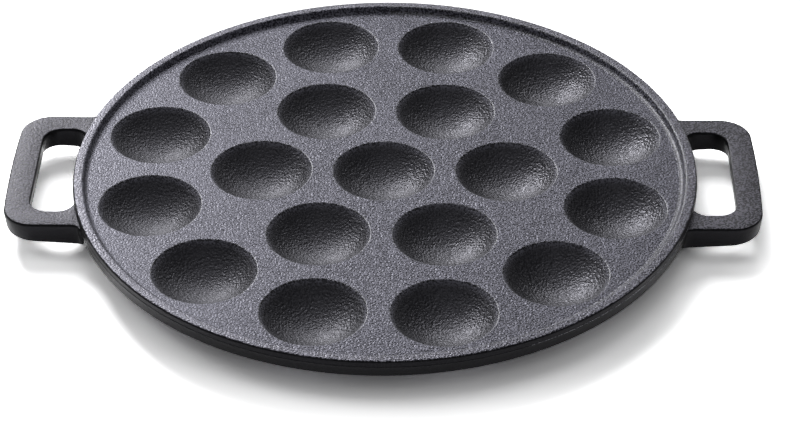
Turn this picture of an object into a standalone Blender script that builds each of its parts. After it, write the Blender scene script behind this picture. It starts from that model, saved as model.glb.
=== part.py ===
"""A cast-iron poffertjes pan: a round griddle with round hollows, a raised rim and two loop handles.

The pan is cast in one piece. Each object here is one section of the casting, and they meet face to face:
the griddle plate, the rim on its border, a cup below the plate at each hollow, and the two handles.
Lengths are in metres. The origin is on the table, under the middle of the pan, with the handles along X.
"""

import math

import bmesh
import bpy

# Hollows, where the batter goes
hollow_radius = 0.0204  # where the bowl's curve meets the plane of the griddle
hollow_depth = 0.0105
hollow_edge_round = 0.0010
land_width = 0.0087  # griddle left between two neighbouring hollows
inner_ring_count = 6

# Cups below the plate
cup_floor = 0.0040  # iron under the middle of a hollow
cup_foot_radius = 0.0056  # the flat ground foot that the pan stands on
cup_gap = 0.0037  # clear space between two neighbouring cups

# Plate
plate_thickness = 0.0043
plate_border = 0.0036  # griddle left between the outer hollows and the rim
wall_draft = 0.0003  # how far the wall leans in from the rim to its bottom edge
wall_bottom_round = 0.0003

# Rim
rim_width = 0.0058
rim_height = 0.0026
rim_fillet = 0.0015  # hollow curve at the rim's foot, on the griddle's side
rim_slope = math.radians(70)
rim_inner_round = 0.0004
rim_outer_round = 0.0004
parting_ridge = 0.0002  # how far the mould's parting line stands out of the wall
parting_ridge_height = 0.0003

# Handles
handle_reach = 0.0258  # from the rim's outer edge to the end of the handle
handle_width = 0.0760
handle_bar = 0.0109
handle_arm = 0.0095
handle_bow = 0.0014  # how far the handle's end swells out in the middle
handle_corner = 0.0116
handle_gap_corner = 0.0075
handle_root_fillet = 0.0050  # in plan, where an arm meets the wall
handle_drop = 0.0004  # from the griddle down to the handle's top face
handle_end_thickness = 0.0073
handle_root_thickness = 0.0091
handle_lug_thickness = 0.0014  # at the inner end of the lug under the plate
handle_edge_round = 0.0006

fit_gap = 0.0003  # between curved faces that meet in the casting

hollow_segments = 24
hollow_edge_steps = 1
pan_segments = 96
fillet_steps = 3
corner_steps = 6
edge_round_steps = 2
crease_angle = math.radians(30)
same_place = 1e-6

iron_base_color = (0.036, 0.036, 0.043, 1.0)
griddle_roughness = 0.50
wall_roughness = 0.42
cup_roughness = 0.55

# Places that follow from the sizes
griddle_z = hollow_depth + cup_floor
underside_z = griddle_z - plate_thickness
bowl_radius = (hollow_radius**2 + hollow_depth**2) / (2 * hollow_depth)
bowl_centre_z = griddle_z - hollow_depth + bowl_radius
hollow_pitch = 2 * hollow_radius + land_width
outer_ring_count = 2 * inner_ring_count
inner_ring_radius = hollow_pitch / (2 * math.sin(math.pi / inner_ring_count))
outer_ring_radius = hollow_pitch / (2 * math.sin(math.pi / outer_ring_count))
cup_radius = (hollow_pitch - cup_gap) / 2
pan_radius = outer_ring_radius + hollow_radius + plate_border + rim_width
parting_radius = pan_radius + parting_ridge
wall_bottom_radius = pan_radius - wall_draft
handle_top_z = griddle_z - handle_drop
handle_end_x = pan_radius + handle_reach
lug_inner_radius = outer_ring_radius + cup_radius + 2 * fit_gap


def arc(centre, radius, start, end, steps):
    """Points along a circle's arc, both ends included, with angles in radians."""
    angles = [start + (end - start) * i / steps for i in range(steps + 1)]
    return [(centre[0] + radius * math.cos(a), centre[1] + radius * math.sin(a)) for a in angles]


def bowl_radius_at(z):
    """How far the bowl's surface is from the hollow's axis at a height."""
    return math.sqrt(bowl_radius**2 - (bowl_centre_z - z) ** 2)


def clear_scene():
    for old in list(bpy.data.objects):
        bpy.data.objects.remove(old)


def iron(name, roughness):
    material = bpy.data.materials.new(name)
    material.use_nodes = True
    shader = material.node_tree.nodes["Principled BSDF"]
    shader.inputs["Base Color"].default_value = iron_base_color
    shader.inputs["Roughness"].default_value = roughness
    shader.inputs["Metallic"].default_value = 0.0
    material.diffuse_color = iron_base_color
    return material


def add_object(name, mesh, material, parent):
    if not mesh.materials:
        mesh.materials.append(material)
    mesh.shade_smooth()
    mesh.set_sharp_from_angle(angle=crease_angle)
    piece = bpy.data.objects.new(name, mesh)
    bpy.context.collection.objects.link(piece)
    piece.parent = parent
    return piece


def mesh_from(bm, name):
    bmesh.ops.recalc_face_normals(bm, faces=bm.faces)
    mesh = bpy.data.meshes.new(name)
    bm.to_mesh(mesh)
    bm.free()
    return mesh


def turn(bm, profile, centre, segments, closed):
    """Turns a profile of (radius, height) points about a vertical axis, and returns its faces."""
    points = [bm.verts.new((centre[0] + r, centre[1], z)) for r, z in profile]
    edges = [bm.edges.new(pair) for pair in zip(points, points[1:])]
    if closed:
        edges.append(bm.edges.new((points[-1], points[0])))
    before = set(bm.faces)
    bmesh.ops.spin(
        bm,
        geom=points + edges,
        cent=(centre[0], centre[1], 0),
        axis=(0, 0, 1),
        angle=2 * math.pi,
        steps=segments,
        use_merge=True,
    )
    return [face for face in bm.faces if face not in before]


def merge_axis_points(bm):
    bmesh.ops.remove_doubles(bm, verts=bm.verts, dist=same_place)


def hollow_centres():
    """The places of the hollows' axes, with a name for the cup at each."""
    yield "cup_centre", (0.0, 0.0)
    for ring, count, radius, first in (
        ("inner", inner_ring_count, inner_ring_radius, 0.0),
        ("outer", outer_ring_count, outer_ring_radius, math.pi / outer_ring_count),
    ):
        for i in range(count):
            angle = first + 2 * math.pi * i / count
            yield f"cup_{ring}_{i + 1:02d}", (radius * math.cos(angle), radius * math.sin(angle))


def hollow_wall_profile():
    """The bowl's wall inside the plate, from the underside up over the rounded edge."""
    reach = bowl_radius + hollow_edge_round
    rise = bowl_centre_z - griddle_z + hollow_edge_round
    edge_centre_r = math.sqrt(reach**2 - rise**2)
    lean = math.atan2(rise, edge_centre_r)
    edge_centre = (edge_centre_r, griddle_z - hollow_edge_round)
    edge = arc(edge_centre, hollow_edge_round, math.pi - lean, math.pi / 2, hollow_edge_steps)
    middle_z = (underside_z + edge[0][1]) / 2
    wall = [(bowl_radius_at(z), z) for z in (underside_z, middle_z)]
    edge[-1] = (edge_centre_r, griddle_z)
    return wall + edge


def open_border(faces, z):
    """The border edges of these faces that lie at a height."""
    edges = {edge for face in faces for edge in face.edges if edge.is_boundary}
    return [edge for edge in edges if all(abs(v.co.z - z) < same_place for v in edge.verts)]


def griddle_plate_mesh():
    bm = bmesh.new()
    round_centre = (wall_bottom_radius - wall_bottom_round, underside_z + wall_bottom_round)
    wall = arc(round_centre, wall_bottom_round, -math.pi / 2, 0, edge_round_steps)
    wall[0] = (round_centre[0], underside_z)
    ridge = [(pan_radius, griddle_z - parting_ridge_height), (parting_radius, griddle_z)]
    faces = turn(bm, wall + ridge, (0, 0), pan_segments, False)
    for _, centre in hollow_centres():
        faces += turn(bm, hollow_wall_profile(), centre, hollow_segments, False)
    for z in (underside_z, griddle_z):
        bmesh.ops.triangle_fill(bm, edges=open_border(faces, z), use_beauty=True, use_dissolve=False)
    return mesh_from(bm, "griddle_plate")


def rim_mesh():
    foot_r = pan_radius - rim_width
    top_z = griddle_z + rim_height
    quarter = math.pi / 2
    fillet_centre = (foot_r, griddle_z + rim_fillet)
    fillet = arc(fillet_centre, rim_fillet, -quarter, rim_slope - quarter, fillet_steps)
    fillet[0] = (foot_r, griddle_z)
    round_z = top_z - rim_inner_round
    round_start_z = round_z + rim_inner_round * math.cos(rim_slope)
    straight = (round_start_z - fillet[-1][1]) / math.tan(rim_slope)
    round_r = fillet[-1][0] + straight + rim_inner_round * math.sin(rim_slope)
    inner = arc((round_r, round_z), rim_inner_round, quarter + rim_slope, quarter, edge_round_steps)
    outer_centre = (pan_radius - rim_outer_round, top_z - rim_outer_round)
    outer = arc(outer_centre, rim_outer_round, quarter, 0, edge_round_steps)
    ridge = [(pan_radius, griddle_z + parting_ridge_height), (parting_radius, griddle_z)]
    bm = bmesh.new()
    turn(bm, fillet + inner + outer + ridge, (0, 0), pan_segments, True)
    return mesh_from(bm, "rim")


def cup_mesh():
    """A bowl that carries its hollow on below the plate, down to a flat foot."""
    middle_z = (cup_radius**2 - cup_foot_radius**2 + underside_z**2) / (2 * underside_z)
    outer_radius = math.hypot(cup_foot_radius, middle_z)
    start = math.atan2(underside_z - middle_z, cup_radius)
    end = math.atan2(-middle_z, cup_foot_radius)
    outside = arc((0, middle_z), outer_radius, start, end, fillet_steps)
    outside[0] = (cup_radius, underside_z)
    outside[-1] = (cup_foot_radius, 0.0)
    opening = math.atan2(underside_z - bowl_centre_z, bowl_radius_at(underside_z))
    inside = arc((0, bowl_centre_z), bowl_radius, -math.pi / 2, opening, fillet_steps)
    inside[0] = (0.0, cup_floor)
    inside[-1] = (bowl_radius_at(underside_z), underside_z)
    bm = bmesh.new()
    turn(bm, inside + outside + [(0.0, 0.0)], (0, 0), hollow_segments, False)
    merge_axis_points(bm)
    return mesh_from(bm, "cup")


def handle_outline():
    """The +X handle in plan: one closed loop round the bar, both arms and their lugs under the plate."""
    half = handle_width / 2
    gap_half = half - handle_arm
    gap_end_x = handle_end_x - handle_bar
    end_x = handle_end_x - handle_bow
    quarter = math.pi / 2
    root_r = pan_radius + handle_root_fillet
    root_y = gap_half - handle_root_fillet
    root_x = math.sqrt(root_r**2 - root_y**2)
    root_angle = math.atan2(root_y, root_x)
    root = arc((root_x, root_y), handle_root_fillet, quarter, math.pi + root_angle, fillet_steps)
    lug_start = math.asin(root[-1][1] / lug_inner_radius)
    lug_end = math.asin(half / lug_inner_radius)
    lug = arc((0, 0), lug_inner_radius, lug_start, lug_end, fillet_steps)
    corner_centre = (end_x - handle_corner, half - handle_corner)
    outer = arc(corner_centre, handle_corner, quarter, 0, corner_steps)
    outer = [(x + handle_bow * (1 - (y / half) ** 2), y) for x, y in outer] + [(handle_end_x, 0.0)]
    gap_centre = (gap_end_x - handle_gap_corner, gap_half - handle_gap_corner)
    gap = arc(gap_centre, handle_gap_corner, 0, quarter, corner_steps)
    upper = gap + root + lug + outer
    lower = [(x, -y) for x, y in reversed(upper[:-1])]
    return upper + lower


def handle_thickness_at(x, root_x, lug_x):
    """The handle grows thicker towards the wall, then thins along the lug under the plate."""
    lug_thickness = handle_top_z - underside_z + handle_lug_thickness
    if x >= root_x:
        share = (x - root_x) / (handle_end_x - root_x)
        return handle_root_thickness + (handle_end_thickness - handle_root_thickness) * share
    return lug_thickness + (handle_root_thickness - lug_thickness) * (x - lug_x) / (root_x - lug_x)


def handle_mesh():
    arm_y = (handle_width - handle_arm) / 2
    root_x = math.sqrt(pan_radius**2 - arm_y**2)
    lug_x = math.sqrt(lug_inner_radius**2 - (handle_width / 2) ** 2)
    bm = bmesh.new()
    corners = [bm.verts.new((x, y, handle_top_z)) for x, y in handle_outline()]
    top = bm.faces.new(corners)
    made = bmesh.ops.extrude_face_region(bm, geom=[top], use_keep_orig=True)["geom"]
    bottom = [item for item in made if isinstance(item, bmesh.types.BMVert)]
    bmesh.ops.translate(bm, verts=bottom, vec=(0, 0, -handle_end_thickness))
    bmesh.ops.recalc_face_normals(bm, faces=bm.faces)
    rims = [edge for edge in bm.edges if abs(edge.verts[0].co.z - edge.verts[1].co.z) < same_place]
    bmesh.ops.bevel(
        bm,
        geom=rims,
        offset=handle_edge_round,
        segments=edge_round_steps,
        profile=0.5,
        affect="EDGES",
    )
    everything = [*bm.verts, *bm.edges, *bm.faces]
    bmesh.ops.bisect_plane(bm, geom=everything, plane_co=(root_x, 0, 0), plane_no=(1, 0, 0))
    for vert in bm.verts:
        stretch = handle_thickness_at(vert.co.x, root_x, lug_x) / handle_end_thickness
        vert.co.z = handle_top_z - (handle_top_z - vert.co.z) * stretch
    return mesh_from(bm, "handle")


def plate_clearance(parent):
    """The plate and rim with the fit gap round them, which the handles are cut to."""
    side = [
        (wall_bottom_radius + fit_gap, underside_z),
        (pan_radius + fit_gap, griddle_z - parting_ridge_height),
        (pan_radius + fit_gap, griddle_z + rim_height),
    ]
    bm = bmesh.new()
    turn(bm, [(0.0, side[0][1]), *side, (0.0, side[-1][1])], (0, 0), pan_segments, False)
    merge_axis_points(bm)
    cutter = bpy.data.objects.new("plate_clearance", mesh_from(bm, "plate_clearance"))
    bpy.context.collection.objects.link(cutter)
    cutter.parent = parent
    cutter.hide_render = True
    cutter.display_type = "WIRE"
    return cutter


def main():
    clear_scene()
    pan = bpy.data.objects.new("poffertjes_pan", None)
    bpy.context.collection.objects.link(pan)

    griddle_iron = iron("griddle_iron", griddle_roughness)
    rim_iron = iron("rim_iron", griddle_roughness)
    cup_iron = iron("cup_iron", cup_roughness)
    handle_iron = iron("handle_iron", wall_roughness)

    add_object("griddle_plate", griddle_plate_mesh(), griddle_iron, pan)
    add_object("rim", rim_mesh(), rim_iron, pan)

    cup = cup_mesh()
    for name, (x, y) in hollow_centres():
        add_object(name, cup, cup_iron, pan).location = (x, y, 0)

    cutter = plate_clearance(pan)
    handle = handle_mesh()
    for name, angle in (("handle_right", 0.0), ("handle_left", math.pi)):
        piece = add_object(name, handle, handle_iron, pan)
        piece.rotation_euler.z = angle
        cut = piece.modifiers.new("clear of the plate", "BOOLEAN")
        cut.operation = "DIFFERENCE"
        cut.object = cutter


main()
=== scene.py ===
import math

import bpy
from mathutils import Matrix, Vector


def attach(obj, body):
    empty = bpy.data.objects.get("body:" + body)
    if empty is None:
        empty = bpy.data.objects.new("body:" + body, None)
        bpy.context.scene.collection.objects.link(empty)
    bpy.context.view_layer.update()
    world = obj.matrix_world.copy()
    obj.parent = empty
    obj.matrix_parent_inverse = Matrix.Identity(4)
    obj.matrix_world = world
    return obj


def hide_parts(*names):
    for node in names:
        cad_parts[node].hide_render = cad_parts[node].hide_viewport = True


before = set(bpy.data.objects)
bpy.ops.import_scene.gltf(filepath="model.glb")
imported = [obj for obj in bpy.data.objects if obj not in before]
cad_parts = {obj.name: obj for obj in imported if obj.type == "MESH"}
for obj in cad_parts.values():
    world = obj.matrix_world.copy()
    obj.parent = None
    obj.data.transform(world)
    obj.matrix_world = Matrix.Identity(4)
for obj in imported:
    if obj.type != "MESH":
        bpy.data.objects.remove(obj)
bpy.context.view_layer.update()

mm = 0.001  # every size below is in millimetres
near = 0.01 * mm  # places that are closer than this count as one

# the casting's main sizes, which the pieces share
casting = {
    "griddleZ": 14.5,
    "undersideZ": 10.2,
    "wallRadius": 125.43,
    "footRadius": 119.0,  # where the rim's inner fillet leaves the griddle
    "rimTopZ": 17.1,
    "hollowPitch": 49.5,
    "hollowRings": (("inner", 6, 0.0), ("outer", 12, 15.0)),  # name, count and first angle
}


def deselectAll():
    if bpy.context.object and bpy.context.object.mode != "OBJECT":
        bpy.ops.object.mode_set(mode="OBJECT")
    bpy.ops.object.select_all(action="DESELECT")


def pickOnly(piece):
    deselectAll()
    piece.select_set(True)
    bpy.context.view_layer.objects.active = piece


def openMesh(action="SELECT"):
    bpy.ops.object.mode_set(mode="EDIT")
    bpy.ops.mesh.select_all(action=action)


def closeMesh():
    bpy.ops.object.mode_set(mode="OBJECT")


def pull(rise):
    bpy.ops.mesh.extrude_region_move(TRANSFORM_OT_translate={"value": (0, 0, rise * mm)})


def cutRow(normal, place):
    # a row of new edges across the whole open mesh, square to the normal
    bpy.ops.mesh.select_all(action="SELECT")
    bpy.ops.mesh.bisect(plane_co=[n * place * mm for n in normal], plane_no=normal)


def startRing(name, radius, z, segments):
    deselectAll()
    spot = (0, 0, z * mm)
    bpy.ops.mesh.primitive_circle_add(vertices=segments, radius=radius * mm, location=spot)
    ring = bpy.context.object
    ring.name = ring.data.name = name
    bpy.ops.object.transform_apply()
    return ring


def pullRings(ring, outline):
    # the ring is extruded from point to point of an outline of (radius, height)
    radius = ring.data.vertices[0].co.xy.length / mm
    z = ring.data.vertices[0].co.z / mm
    openMesh()
    for nextRadius, nextZ in outline:
        pull(nextZ - z)
        if nextRadius == 0:
            bpy.ops.mesh.merge(type="CENTER")
            break
        share = nextRadius / radius
        bpy.ops.transform.resize(value=(share, share, 1), center_override=(0, 0, nextZ * mm))
        radius, z = nextRadius, nextZ
    closeMesh()


def arcPoints(centre, radius, start, end, steps):
    points = []
    for i in range(1, steps + 1):
        angle = math.radians(start + (end - start) * i / steps)
        points.append((centre[0] + radius * math.cos(angle), centre[1] + radius * math.sin(angle)))
    return points


def tidyMesh(piece, sharpAngle=30, weld=0.002):
    pickOnly(piece)
    openMesh()
    bpy.ops.mesh.remove_doubles(threshold=weld * mm)
    bpy.ops.mesh.normals_make_consistent(inside=False)
    closeMesh()
    bpy.ops.object.shade_smooth_by_angle(angle=math.radians(sharpAngle))


def joinPieces(pieces, name):
    deselectAll()
    for piece in pieces:
        piece.select_set(True)
    bpy.context.view_layer.objects.active = pieces[0]
    bpy.ops.object.join()
    joined = bpy.context.object
    joined.name = joined.data.name = name
    return joined


def copyTo(piece, name, x, y):
    copy = piece.copy()
    copy.data = piece.data.copy()
    copy.name = copy.data.name = name
    bpy.context.scene.collection.objects.link(copy)
    copy.data.transform(Matrix.Translation((x * mm, y * mm, 0)))
    return copy


def hollowPlaces():
    # one hollow in the middle, then a ring of six and a ring of twelve, all at the same pitch
    places = [("centre", 0.0, 0.0)]
    for ring, count, first in casting["hollowRings"]:
        radius = casting["hollowPitch"] / (2 * math.sin(math.pi / count))
        for i in range(count):
            angle = math.radians(first + 360 * i / count)
            x, y = radius * math.cos(angle), radius * math.sin(angle)
            places.append((f"{ring}_{i + 1:02d}", x, y))
    return places


# what all the irons share
ironFinish = {
    "fineGrain": 1.3,  # waves of the sand's grain per millimetre
    "peelGrain": 0.95,  # and of the hollows' rippled skin
    "castWaves": 0.035,
    "grainDetail": 0.0,
    "wavesDetail": 3.0,
    "noiseRough": 0.5,
    "grainHeight": 0.18,
    "peelHeight": 0.16,
    "coarseFrom": -90,  # the grain gets coarser from this x to the next one
    "coarseTo": 40,
    "pitRough": 0.34,
    "grainRough": 0.41,
    "pitTone": 0.46,
    "grainTone": 0.54,
    "wavesShare": 0.2,
    "driftReach": 100,
    # a darker colour for the hollows and everything below the griddle, which is painted shade
    "paintedShadeBelow": (0.21, 0.21, 0.185, 1),
    "paintedShadeFrom": 0.2,  # how far below the griddle the painted shade starts
    "paintedShadeFull": 2.5,
}


def feed(tree, value, socket):
    # a socket takes a fixed number or colour, or what another node gives
    if isinstance(value, bpy.types.NodeSocket):
        tree.links.new(value, socket)
    else:
        socket.default_value = value


def linkedMath(tree, operation, *values):
    node = tree.nodes.new("ShaderNodeMath")
    node.operation = operation
    for socket, value in zip(node.inputs, values):
        feed(tree, value, socket)
    return node.outputs[0]


def smoothRange(tree, value, low, high, toLow, toHigh):
    node = tree.nodes.new("ShaderNodeMapRange")
    node.interpolation_type = "SMOOTHSTEP"
    feed(tree, value, node.inputs["Value"])
    feed(tree, low, node.inputs["From Min"])
    feed(tree, high, node.inputs["From Max"])
    feed(tree, toLow, node.inputs["To Min"])
    feed(tree, toHigh, node.inputs["To Max"])
    return node.outputs["Result"]


def noiseValue(tree, spot, scale, detail):
    node = tree.nodes.new("ShaderNodeTexNoise")
    feed(tree, spot, node.inputs["Vector"])
    feed(tree, scale, node.inputs["Scale"])
    feed(tree, detail, node.inputs["Detail"])
    feed(tree, ironFinish["noiseRough"], node.inputs["Roughness"])
    return node.outputs["Fac"]


def mixedColour(tree, blend, share, first, second):
    node = tree.nodes.new("ShaderNodeMix")
    node.data_type = "RGBA"
    node.blend_type = blend
    for number, value in ((0, share), (6, first), (7, second)):
        feed(tree, value, node.inputs[number])
    return node.outputs[2]


def scaledSpot(tree, scale):
    place = tree.nodes.new("ShaderNodeTexCoord")
    scaled = tree.nodes.new("ShaderNodeMapping")
    scaled.inputs["Scale"].default_value = scale
    tree.links.new(place.outputs["Object"], scaled.inputs["Vector"])
    return scaled.outputs["Vector"]


def ironRelief(tree, look, fine, peel, coarse, depth):
    grain = linkedMath(tree, "MULTIPLY", coarse, ironFinish["grainHeight"] * look["grain"])
    fineHeight = linkedMath(tree, "MULTIPLY", fine, grain)
    peelShare = linkedMath(tree, "MULTIPLY", depth, ironFinish["peelHeight"] * look["grain"])
    bump = tree.nodes.new("ShaderNodeBump")
    bump.inputs["Strength"].default_value = 1.0
    bump.inputs["Distance"].default_value = mm
    height = linkedMath(tree, "MULTIPLY_ADD", peel, peelShare, fineHeight)
    tree.links.new(height, bump.inputs["Height"])
    return bump.outputs["Normal"]


def castIron(name, look):
    material = bpy.data.materials.new(name)
    material.use_nodes = True
    material.diffuse_color = look["dark"]
    tree = material.node_tree
    shader = tree.nodes["Principled BSDF"]
    spot = scaledSpot(tree, (1 / mm, 1 / mm, 1 / mm))
    axes = tree.nodes.new("ShaderNodeSeparateXYZ")
    tree.links.new(spot, axes.inputs[0])

    # 0 on the griddle and the rim, 1 inside the hollows and below
    start = casting["griddleZ"] - ironFinish["paintedShadeFrom"]
    full = casting["griddleZ"] - ironFinish["paintedShadeFull"]
    depth = smoothRange(tree, axes.outputs["Z"], full, start, 1.0, 0.0)
    fine = noiseValue(tree, spot, ironFinish["fineGrain"], ironFinish["grainDetail"])
    peel = noiseValue(tree, spot, ironFinish["peelGrain"], ironFinish["grainDetail"])
    waves = noiseValue(tree, spot, ironFinish["castWaves"], ironFinish["wavesDetail"])
    # the sand that the pan was cast in was coarser towards the right-hand side
    left, right = ironFinish["coarseFrom"], ironFinish["coarseTo"]
    coarse = smoothRange(tree, axes.outputs["X"], left, right, 1.0, look["coarser"])
    tree.links.new(ironRelief(tree, look, fine, peel, coarse, depth), shader.inputs["Normal"])

    # raised grains are lighter than the pits between them, and the seasoning drifts over the pan
    pitTone, grainTone = ironFinish["pitTone"], ironFinish["grainTone"]
    wavesShare = ironFinish["wavesShare"]
    grains = linkedMath(tree, "MULTIPLY", fine, 1 - wavesShare)
    tone = linkedMath(tree, "MULTIPLY_ADD", waves, wavesShare, grains)
    colours = tree.nodes.new("ShaderNodeValToRGB")
    pitEnd, grainEnd = colours.color_ramp.elements
    pitEnd.position, pitEnd.color = pitTone, look["dark"]
    grainEnd.position, grainEnd.color = grainTone, look["light"]
    tree.links.new(tone, colours.inputs["Fac"])
    # inside the hollows and below the griddle the colour is darkened, as painted shade
    paintedShade = ironFinish["paintedShadeBelow"]
    base = mixedColour(tree, "MULTIPLY", depth, colours.outputs["Color"], paintedShade)
    tree.links.new(base, shader.inputs["Base Color"])

    # they are rougher too, and where a look drifts, its left-hand side is duller
    pitRough = ironFinish["pitRough"] - look["polish"]
    grainRough = ironFinish["grainRough"] - look["polish"]
    rough = smoothRange(tree, tone, pitTone, grainTone, pitRough, grainRough)
    edge, drift = ironFinish["driftReach"], look["drift"]
    season = smoothRange(tree, axes.outputs["X"], -edge, edge, drift, -drift)
    tree.links.new(linkedMath(tree, "ADD", rough, season), shader.inputs["Roughness"])
    shader.inputs["Specular IOR Level"].default_value = look["specular"]
    shader.inputs["Specular Tint"].default_value = look["tint"]
    return material


griddleLook = {
    "dark": (0.004, 0.004, 0.005, 1),
    "light": (0.131, 0.130, 0.160, 1),
    "grain": 1.0,
    "coarser": 2.2,
    "polish": 0.0,
    "drift": 0.0,
    "specular": 0.445,
    "tint": (0.77, 0.76, 1.0, 1),
}
griddleIron = castIron("grained griddle iron", griddleLook)

hollowLook = griddleLook | {
    "grain": 1.6,
    "coarser": 1.0,
    "polish": -0.12,
    "drift": 0.05,
    "specular": 0.90,
    "tint": (0.86, 0.85, 0.99, 1),
}
hollowIron = castIron("rippled hollow iron", hollowLook)

# a smoother, slightly shinier iron for the hollows' edges, and on the rim's lit side as painted
# sheen
edgeLook = griddleLook | {
    "grain": 0.7,
    "coarser": 1.2,
    "polish": -0.02,
    "specular": 0.48,
    "tint": (0.88, 0.88, 0.97, 1),
}
edgeIron = castIron("smoother edge iron", edgeLook)

rimLook = griddleLook | {
    "specular": 0.62,
    "tint": (0.83, 0.81, 1.0, 1),
}
rimIron = castIron("worn rim iron", rimLook)

# a much lighter iron for the seam's upper faces on the right, which is a painted highlight
seamHighlightLook = griddleLook | {
    "dark": (0.05, 0.05, 0.055, 1),
    "light": (0.45, 0.45, 0.47, 1),
    "specular": 0.8,
}
seamHighlightIron = castIron("seam iron with painted highlight", seamHighlightLook)

handleLook = {
    "dark": (0.003, 0.003, 0.0038, 1),
    "light": (0.104, 0.102, 0.124, 1),
    "grain": 0.8,
    "coarser": 1.8,
    "polish": -0.07,
    "drift": 0.0,
    "specular": 0.275,
    "tint": (0.86, 0.84, 1.0, 1),
}
handleIron = castIron("finer handle iron", handleLook)

# the walls and undersides are smooth, and their colour is darkened as painted shade
shadedWallLook = {
    "dark": (0.005, 0.005, 0.0056, 1),
    "light": (0.012, 0.012, 0.0132, 1),
    "grain": 0.25,
    "coarser": 1.0,
    "polish": 0.0,
    "drift": 0.0,
    "specular": 0.15,
    "tint": (0.90, 0.88, 1.0, 1),
}
shadedWallIron = castIron("smooth wall iron with painted shade", shadedWallLook)
print("finishes made")


def addIrons(piece, *irons):
    # gives the numbers of the slots that the irons get on the piece
    for iron in irons:
        piece.data.materials.append(iron)
    return [piece.data.materials.find(iron.name) for iron in irons]


# a lean is how far a face looks up, from 0 for an upright one to 1 for a level one
def coverIron(piece, topIron, topLean):
    # the top has the grain, and the outer faces and the underside are smooth, in a far darker
    # colour that is painted shade
    topSlot, shadedWallSlot = addIrons(piece, topIron, shadedWallIron)
    for face in piece.data.polygons:
        face.material_index = shadedWallSlot if face.normal.z < topLean else topSlot


cup = {
    "hollowRadius": 20.4,
    "hollowDepth": 10.5,
    "edgeRound": 1.0,
    "edgeSteps": 8,
    "apron": 0.25,  # the level ring round the edge
    "bowlSteps": 22,
    "bowlEnd": -89,  # degrees, just short of the middle, where one point closes the bowl
    "plugRadius": 22.9,
    "footRadius": 5.6,
    "footRound": 0.6,
    "outsideSteps": 12,
    "segments": 96,
    "rippleBelow": 1.0,
    "rippleLean": 0.62,
    "edgeLean": 0.985,
}


def makeCup():
    top, under = casting["griddleZ"], casting["undersideZ"]
    bowl = (cup["hollowRadius"] ** 2 + cup["hollowDepth"] ** 2) / (2 * cup["hollowDepth"])
    bowlZ = top - cup["hollowDepth"] + bowl
    edgeRound = cup["edgeRound"]
    rise = bowlZ - top + edgeRound
    edgeRadius = math.sqrt((bowl + edgeRound) ** 2 - rise**2)
    lean = math.degrees(math.atan2(rise, edgeRadius))

    inside = startRing("cup", cup["plugRadius"], top, cup["segments"])
    outline = [(edgeRadius + cup["apron"], top), (edgeRadius, top)]
    edgeCentre = (edgeRadius, top - edgeRound)
    outline += arcPoints(edgeCentre, edgeRound, 90, 180 - lean, cup["edgeSteps"])
    outline += arcPoints((0, bowlZ), bowl, -lean, cup["bowlEnd"], cup["bowlSteps"])
    pullRings(inside, outline + [(0, top - cup["hollowDepth"])])

    middleZ = (cup["plugRadius"] ** 2 - cup["footRadius"] ** 2 + under**2) / (2 * under)
    outer = math.hypot(cup["footRadius"], middleZ)
    start = math.degrees(math.atan2(under - middleZ, cup["plugRadius"]))
    end = math.degrees(math.atan2(-middleZ, cup["footRadius"]))
    outside = startRing("cup outside", cup["plugRadius"], top, cup["segments"])
    outline = [(cup["plugRadius"], under)]
    outline += arcPoints((0, middleZ), outer, start, end, cup["outsideSteps"])
    pullRings(outside, outline + [(cup["footRadius"] - cup["footRound"], 0.0), (0, 0.0)])
    whole = joinPieces([inside, outside], "cup")
    tidyMesh(whole)
    return whole


def coverCup(piece):
    # grain on the level part, a smoother edge and a rippled skin below it
    levelSlot, rippleSlot, edgeSlot = addIrons(piece, griddleIron, hollowIron, edgeIron)
    for face in piece.data.polygons:
        below = casting["griddleZ"] - face.center.z / mm
        if face.normal.z < cup["rippleLean"] or below > cup["rippleBelow"]:
            face.material_index = rippleSlot
        elif face.normal.z < cup["edgeLean"]:
            face.material_index = edgeSlot
        else:
            face.material_index = levelSlot


firstCup = makeCup()
cups = []
for place, x, y in hollowPlaces():
    piece = copyTo(firstCup, f"hollow_{place}", x, y)
    coverCup(piece)
    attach(piece, "root")
    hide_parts(f"cup_{place}")
    cups.append(piece)
bpy.data.objects.remove(firstCup)
print("cups made:", len(cups))


plate = {"seamRadius": 118.8, "segments": 288}


def makePlate():
    top = casting["griddleZ"]
    rings = [startRing("plate edge", plate["seamRadius"], top, plate["segments"])]
    hole = startRing("plate hole", cup["plugRadius"], top, cup["segments"])
    for place, x, y in hollowPlaces():
        rings.append(copyTo(hole, f"plate hole {place}", x, y))
    bpy.data.objects.remove(hole)
    flat = joinPieces(rings, "griddle_top")
    openMesh()
    bpy.ops.mesh.fill(use_beauty=True)
    bpy.ops.mesh.select_all(action="SELECT")
    pull(casting["undersideZ"] - top)
    closeMesh()
    tidyMesh(flat)
    return flat


griddleTop = makePlate()
griddleTop.data.materials.append(griddleIron)
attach(griddleTop, "root")
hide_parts("griddle_plate")
print("plate made:", len(griddleTop.data.polygons), "faces")


rim = {
    "slope": 70,
    "fillet": 1.7,
    "innerRound": 1.1,
    "outerRound": 0.9,
    "bottomRound": 0.25,
    "draft": 0.25,
    "steps": 8,
    "ridge": 0.14,  # how far the mould's seam stands out
    "ridgeHeight": 0.25,
    "ridgeEase": 0.15,
    "ridgeFlat": 0.05,
    "ridgeWaist": 0.3,  # shares of the ridge and of its height where it starts to flare
    "ridgeWaistHeight": 0.7,
    "ridgeStep": 0.02,
    "shift": 0.5,  # the rim sits a little to the right of its foot, as the mould's halves did
    "shiftOver": 4.0,
    "seamHighlightFrom": 55,
    "seamHighlightLean": 0.5,
    "paintedSheenLean": 0.5,
    "flatLean": 0.998,
    "innerLean": 0.2,
    "topLean": 0.78,
    "wornAbove": 1,
}


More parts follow.
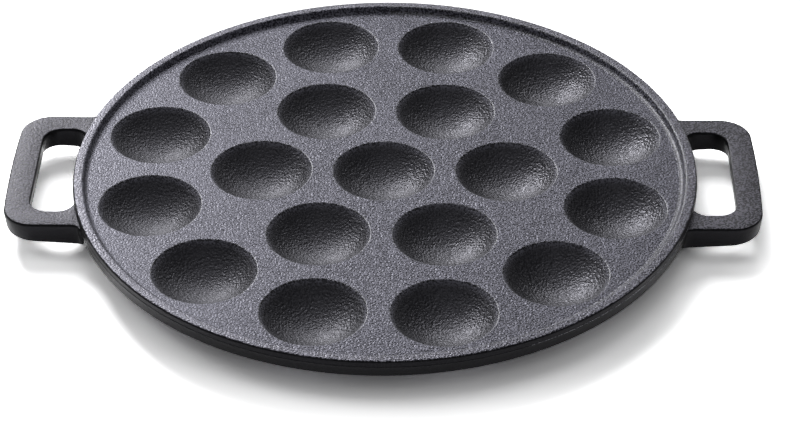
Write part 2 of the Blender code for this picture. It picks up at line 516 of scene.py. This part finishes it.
def ridgeOutline(wall, top):
    out, half = rim["ridge"], rim["ridgeHeight"]
    waist, waistZ = out * rim["ridgeWaist"], half * rim["ridgeWaistHeight"]
    return [
        (wall, top + half + rim["ridgeEase"]),
        (wall + waist, top + waistZ),
        (wall + out, top + rim["ridgeFlat"]),
        (wall + out, top - rim["ridgeFlat"]),
        (wall + waist, top - waistZ),
        (wall - rim["ridgeStep"], top - half - rim["ridgeEase"]),
    ]


def makeRim():
    top, under = casting["griddleZ"], casting["undersideZ"]
    wall, foot, crest = casting["wallRadius"], casting["footRadius"], casting["rimTopZ"]
    slope, steps = rim["slope"], rim["steps"]
    inner, outer, bottom = rim["innerRound"], rim["outerRound"], rim["bottomRound"]
    fillet = arcPoints((foot, top + rim["fillet"]), rim["fillet"], -90, slope - 90, steps)
    roundZ = crest - inner
    turn = math.radians(slope)
    startZ = roundZ + inner * math.cos(turn)
    startRadius = fillet[-1][0] + (startZ - fillet[-1][1]) / math.tan(turn)
    roundRadius = startRadius + inner * math.sin(turn)
    low = wall - rim["draft"]

    outline = [(plate["seamRadius"], top), (foot, top)] + fillet + [(startRadius, startZ)]
    outline += arcPoints((roundRadius, roundZ), inner, 90 + slope, 90, steps)
    outline += [(wall - outer, crest)]
    outline += arcPoints((wall - outer, crest - outer), outer, 90, 0, steps)
    outline += ridgeOutline(wall, top)
    outline += [(low, under + bottom)]
    outline += arcPoints((low - bottom, under + bottom), bottom, 0, -90, steps)
    outline += [(plate["seamRadius"], under)]
    ring = startRing("rim_ring", plate["seamRadius"], under, plate["segments"])
    pullRings(ring, outline)
    for vertex in ring.data.vertices:
        share = (vertex.co.xy.length / mm - foot) / rim["shiftOver"]
        vertex.co.x += rim["shift"] * mm * max(0.0, min(1.0, share))
    tidyMesh(ring)
    return ring


def wearAndHighlightRim(ring):
    # the top is worn; on the right, where the light falls, the inner edge gets a shinier iron as
    # painted sheen and the seam a lighter one as a painted highlight
    edgeSlot, rimSlot, seamHighlightSlot = addIrons(ring, edgeIron, rimIron, seamHighlightIron)
    griddleSlot = ring.data.materials.find(griddleIron.name)
    for face in ring.data.polygons:
        middle, lean = face.center, face.normal.z
        inward = face.normal.x * middle.x + face.normal.y * middle.y < -near
        onSeam = abs(middle.z / mm - casting["griddleZ"]) < rim["ridgeHeight"] and not inward
        # the lighter seam iron on the right-hand ridge is a painted highlight
        if middle.x > rim["seamHighlightFrom"] * mm and onSeam and lean > rim["seamHighlightLean"]:
            face.material_index = seamHighlightSlot
        # the shinier edge iron only on the right, where the light falls on the inner face, is
        # painted sheen
        elif middle.x > 0 and inward and rim["paintedSheenLean"] < lean < rim["flatLean"]:
            face.material_index = edgeSlot
        elif inward and lean > rim["innerLean"]:
            face.material_index = griddleSlot
        elif lean > rim["topLean"] and middle.z > (casting["griddleZ"] + rim["wornAbove"]) * mm:
            face.material_index = rimSlot


rimRing = makeRim()
coverIron(rimRing, griddleIron, rim["topLean"])
wearAndHighlightRim(rimRing)
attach(rimRing, "root")
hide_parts("rim")
print("rim made:", len(rimRing.data.polygons), "faces")


handle = {
    "reach": 151.23,
    "width": 77.0,
    "bar": 10.9,
    "arm": 10.0,
    "bow": 1.4,
    "bowRows": 21,  # how far from the middle the rows go that let the end swell out
    "bowRowStep": 3,
    "corner": 11.6,
    "gapCorner": 7.5,
    "rootCorner": 6.5,
    "gapOver": 1,  # how far the gap's block stands out of the handle, so that it cuts cleanly
    "draft": 0.1,  # how far the ends lean in for each millimetre down
    "flare": 4.5,
    "flareBack": 0.5,
    "flareRows": 8,
    "flareShare": 0.6,
    "leftShift": 0.3,
    "innerX": 118.0,
    "rootX": 122.9,
    "topZ": 14.1,
    "endThickness": 7.3,
    "rootThickness": 9.1,
    "edgeRound": 0.9,
    "edgeSteps": 5,
    "edgeAngle": 60,  # only edges that are sharper than this are rounded
    "cornerSteps": 14,
    "shadeAngle": 35,
    "topLean": 0.92,
}


def roundedBlock(name, x0, x1, halfWidth, topZ, height, corners, grow):
    # a rectangle, rounded in plan and pulled down to a block that gets longer by grow
    deselectAll()
    spot = ((x0 + x1) / 2 * mm, 0, topZ * mm)
    bpy.ops.mesh.primitive_plane_add(size=1, location=spot)
    block = bpy.context.object
    block.name = block.data.name = name
    block.scale = ((x1 - x0) * mm, 2 * halfWidth * mm, 1)
    bpy.ops.object.transform_apply()
    for endX, radius in corners:
        openMesh("DESELECT")
        closeMesh()  # with nothing selected, so that only this end's corners are
        for vertex in block.data.vertices:
            vertex.select = abs(vertex.co.x - endX * mm) < near
        bpy.ops.object.mode_set(mode="EDIT")
        steps = handle["cornerSteps"]
        bpy.ops.mesh.bevel(offset=radius * mm, segments=steps, affect="VERTICES")
    openMesh()
    pull(-height)
    longer = (x1 - x0 + grow) / (x1 - x0)
    bpy.ops.transform.resize(value=(longer, 1, 1), center_override=(x0 * mm, 0, 0))
    bpy.ops.mesh.select_all(action="SELECT")
    bpy.ops.mesh.normals_make_consistent(inside=False)
    closeMesh()
    return block


def cutLoop(half):
    # the loop is one block with the gap's block cut out of it
    top, thick = handle["topZ"], handle["endThickness"]
    endX = handle["reach"] - handle["bow"]
    block = roundedBlock(
        "handle_loop_right", handle["innerX"], endX, half,
        top, thick, [(endX, handle["corner"])], -handle["draft"] * thick,
    )
    rootX, barX = handle["rootX"], handle["reach"] - handle["bar"]
    deep = thick + 2 * handle["gapOver"]
    gap = roundedBlock(
        "handle gap", rootX, barX, half - handle["arm"], top + handle["gapOver"], deep,
        [(barX, handle["gapCorner"]), (rootX, handle["rootCorner"])], handle["draft"] * deep,
    )
    cut = block.modifiers.new("gap", "BOOLEAN")
    cut.operation = "DIFFERENCE"
    cut.solver = "EXACT"
    cut.object = gap
    pickOnly(block)
    bpy.ops.object.modifier_apply(modifier=cut.name)
    bpy.data.objects.remove(gap)
    return block


def swellEnd(block, half):
    bpy.ops.object.mode_set(mode="EDIT")
    for y in range(-handle["bowRows"], handle["bowRows"] + 1, handle["bowRowStep"]):
        cutRow((0, 1, 0), y)
    closeMesh()
    cornerX = handle["reach"] - handle["bow"] - handle["corner"]
    gapX = handle["reach"] - handle["bar"] + handle["gapOver"]
    gapY = half - handle["arm"] + handle["gapOver"]
    for vertex in block.data.vertices:
        onEnd = vertex.co.x > cornerX * mm
        onGap = abs(vertex.co.y) < gapY * mm and vertex.co.x < gapX * mm
        if onEnd and not onGap:
            vertex.co.x += handle["bow"] * mm * (1 - (vertex.co.y / (half * mm)) ** 2)


def flareRoot(block, half):
    # rows across the arms, which then widen towards the pan in a round fillet
    flare = handle["flare"]
    start = math.sqrt(casting["wallRadius"] ** 2 - half**2) - handle["flareBack"]
    bpy.ops.object.mode_set(mode="EDIT")
    for i in range(handle["flareRows"] + 1):
        cutRow((1, 0, 0), start + flare * i / handle["flareRows"])
    # one more row, where the plate's underside will meet the arms once their bottom slopes
    drop = handle["topZ"] - casting["undersideZ"]
    low = handle["topZ"] - drop * handle["endThickness"] / handle["rootThickness"]
    cutRow((0, 0, 1), low)
    closeMesh()
    for vertex in block.data.vertices:
        left = min(flare, start + flare - vertex.co.x / mm)
        onWall = vertex.co.z > low * mm - near
        if left > 0 and onWall and abs(vertex.co.y) > (half - handle["arm"] / 2) * mm:
            widen = flare - math.sqrt(flare**2 - left**2)
            vertex.co.y += math.copysign(handle["flareShare"] * widen * mm, vertex.co.y)


def roundEdges(block):
    # all the sharp level edges, apart from those at the inner end, which the plate hides
    openMesh("DESELECT")
    bpy.ops.mesh.select_mode(type="EDGE")
    bpy.ops.mesh.edges_select_sharp(sharpness=math.radians(handle["edgeAngle"]))
    closeMesh()
    for edge in block.data.edges:
        a, b = (block.data.vertices[i].co for i in edge.vertices)
        level = abs(a.z - b.z) < near
        seen = max(a.x, b.x) > handle["innerX"] * mm + near
        edge.select = edge.select and level and seen
    bpy.ops.object.mode_set(mode="EDIT")
    edgeRound, steps = handle["edgeRound"] * mm, handle["edgeSteps"]
    bpy.ops.mesh.bevel(offset=edgeRound, segments=steps, affect="EDGES")
    bpy.ops.mesh.select_mode(type="VERT")
    closeMesh()


def slopeBottom(block):
    # the loop gets thicker from its end to its root, and its top stays level
    topZ, thin = handle["topZ"] * mm, handle["endThickness"]
    grow = (handle["rootThickness"] - thin) / (handle["reach"] - casting["wallRadius"])
    for vertex in block.data.vertices:
        thick = thin + grow * max(0.0, handle["reach"] - vertex.co.x / mm)
        vertex.co.z = topZ - (topZ - vertex.co.z) * thick / thin


def makeHandle():
    half = handle["width"] / 2
    block = cutLoop(half)
    swellEnd(block, half)
    flareRoot(block, half)
    roundEdges(block)
    slopeBottom(block)
    tidyMesh(block, handle["shadeAngle"])
    return block


rightHandle = makeHandle()
coverIron(rightHandle, handleIron, handle["topLean"])
leftHandle = copyTo(rightHandle, "handle_loop_left", 0, -handle["leftShift"])
leftHandle.data.transform(Matrix.Rotation(math.pi, 4, "Z"))
for piece, node in ((rightHandle, "handle_right"), (leftHandle, "handle_left")):
    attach(piece, "root")
    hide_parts(node)
print("handles made")


studio = {
    "floorColour": (0.95, 0.95, 0.955, 1),
    "floorSeen": (3.25, 3.25, 3.27, 1),  # what the camera and reflections see, as white paper
    "floorSize": 30,
    "floorZ": -0.05,
    "clearFrom": 0.118,  # metres from the middle, from where the pan's shadow fades out
    "clearTo": 0.160,
    "clearWidth": 0.8,  # less than 1, so the white starts further out at the sides
    "clearStrength": 1.0,
    "clearForCamera": 0.4,  # this much more for the camera
    "room": 0.122,
    "horizon": 0.2,
    "lens": 121.96,
    "sensor": 36,
    "azimuth": 1.10,
    "elevation": 36.105,
    "roll": -0.308,
    "distance": 1070.1,
    "target": (7.03, -30.47, 14.5),
}

# distance in metres, azimuth, elevation, width, height and power of each softbox
softboxes = {
    "key softbox": (1.45, -27, 29, 0.36, 0.36, 12.9),
    "upper softbox": (1.4, -16, 46, 0.42, 0.34, 4.2),
    "back softbox": (1.4, 10, 34, 0.5, 0.44, 3.7),
    "left softbox": (1.45, -75, 42, 0.56, 0.56, 1.4),
    "top softbox": (1.45, 0, 82, 0.68, 0.68, 1.3),
    "front softbox": (1.45, 180, 48, 0.68, 0.68, 0.6),
}


def seenRays(tree):
    # 1 for the camera and for what shines back from metal
    rays = tree.nodes.new("ShaderNodeLightPath").outputs
    shiny = linkedMath(tree, "MAXIMUM", rays["Is Glossy Ray"], rays["Is Transmission Ray"])
    return linkedMath(tree, "MAXIMUM", rays["Is Camera Ray"], shiny)


def whitePaper():
    # matt paper that takes the pan's shadow, and turns pure white past it
    paper = bpy.data.materials.new("white paper floor")
    paper.use_nodes = True
    tree = paper.node_tree
    tree.nodes.clear()
    output = tree.nodes.new("ShaderNodeOutputMaterial")
    seen = seenRays(tree)
    matt = tree.nodes.new("ShaderNodeBsdfDiffuse")
    colour = mixedColour(tree, "MIX", seen, studio["floorColour"], studio["floorSeen"])
    tree.links.new(colour, matt.inputs["Color"])
    white = tree.nodes.new("ShaderNodeEmission")
    camera = tree.nodes.new("ShaderNodeLightPath").outputs["Is Camera Ray"]
    more, plain = studio["clearForCamera"], studio["clearStrength"]
    strength = linkedMath(tree, "MULTIPLY_ADD", camera, more, plain)
    tree.links.new(strength, white.inputs["Strength"])
    away = tree.nodes.new("ShaderNodeVectorMath")
    away.operation = "LENGTH"
    tree.links.new(scaledSpot(tree, (studio["clearWidth"], 1, 1)), away.inputs[0])
    start, full = studio["clearFrom"], studio["clearTo"]
    clear = smoothRange(tree, away.outputs["Value"], start, full, 0.0, 1.0)
    either = tree.nodes.new("ShaderNodeMixShader")
    tree.links.new(linkedMath(tree, "MULTIPLY", seen, clear), either.inputs[0])
    tree.links.new(matt.outputs[0], either.inputs[1])
    tree.links.new(white.outputs[0], either.inputs[2])
    tree.links.new(either.outputs[0], output.inputs["Surface"])
    return paper


def lightRoom():
    # an even room, white where the camera and reflections see it near the horizon
    world = bpy.data.worlds.new("soft room")
    bpy.context.scene.world = world
    world.use_nodes = True
    tree = world.node_tree
    room = tree.nodes["Background"]
    around = tree.nodes.new("ShaderNodeTexCoord")
    axes = tree.nodes.new("ShaderNodeSeparateXYZ")
    tree.links.new(around.outputs["Generated"], axes.inputs[0])
    level, horizon = studio["room"], studio["horizon"]
    low = smoothRange(tree, axes.outputs["Z"], horizon / 2, horizon, 1.0 - level, 0.0)
    strength = linkedMath(tree, "MULTIPLY_ADD", seenRays(tree), low, level)
    tree.links.new(strength, room.inputs["Strength"])
    room.inputs["Color"].default_value = (1, 1, 1, 1)


def hangSoftboxes():
    for name, (distance, azimuth, elevation, width, height, power) in softboxes.items():
        turn, tilt = math.radians(azimuth), math.radians(elevation)
        side, ahead = math.sin(turn) * math.cos(tilt), math.cos(turn) * math.cos(tilt)
        towards = Vector((side, ahead, math.sin(tilt)))
        bpy.ops.object.light_add(type="AREA", location=towards * distance)
        lamp = bpy.context.object
        lamp.name = name
        lamp.rotation_euler = towards.to_track_quat("Z", "Y").to_euler()
        lamp.data.shape = "RECTANGLE"
        lamp.data.size = width
        lamp.data.size_y = height
        lamp.data.energy = power


def placeCamera():
    turn, tilt, roll = (math.radians(studio[key]) for key in ("azimuth", "elevation", "roll"))
    side, ahead = math.sin(turn) * math.cos(tilt), -math.cos(turn) * math.cos(tilt)
    back = Vector((side, ahead, math.sin(tilt)))
    level = Vector((math.cos(turn), math.sin(turn), 0))
    upright = back.cross(level)
    right = level * math.cos(roll) + upright * math.sin(roll)
    up = upright * math.cos(roll) - level * math.sin(roll)
    eye = (Vector(studio["target"]) + back * studio["distance"]) * mm
    bpy.ops.object.camera_add()
    camera = bpy.context.object
    camera.matrix_world = Matrix((
        (right.x, up.x, back.x, eye.x),
        (right.y, up.y, back.y, eye.y),
        (right.z, up.z, back.z, eye.z),
        (0, 0, 0, 1),
    ))
    camera.data.lens = studio["lens"]
    camera.data.sensor_width = studio["sensor"]
    bpy.context.scene.camera = camera


deselectAll()
bpy.ops.mesh.primitive_plane_add(size=studio["floorSize"], location=(0, 0, studio["floorZ"] * mm))
floor = bpy.context.object
floor.name = "floor"
floor.data.materials.append(whitePaper())
bpy.context.scene.view_settings.view_transform = "Standard"
lightRoom()
hangSoftboxes()
placeCamera()
print("studio made")
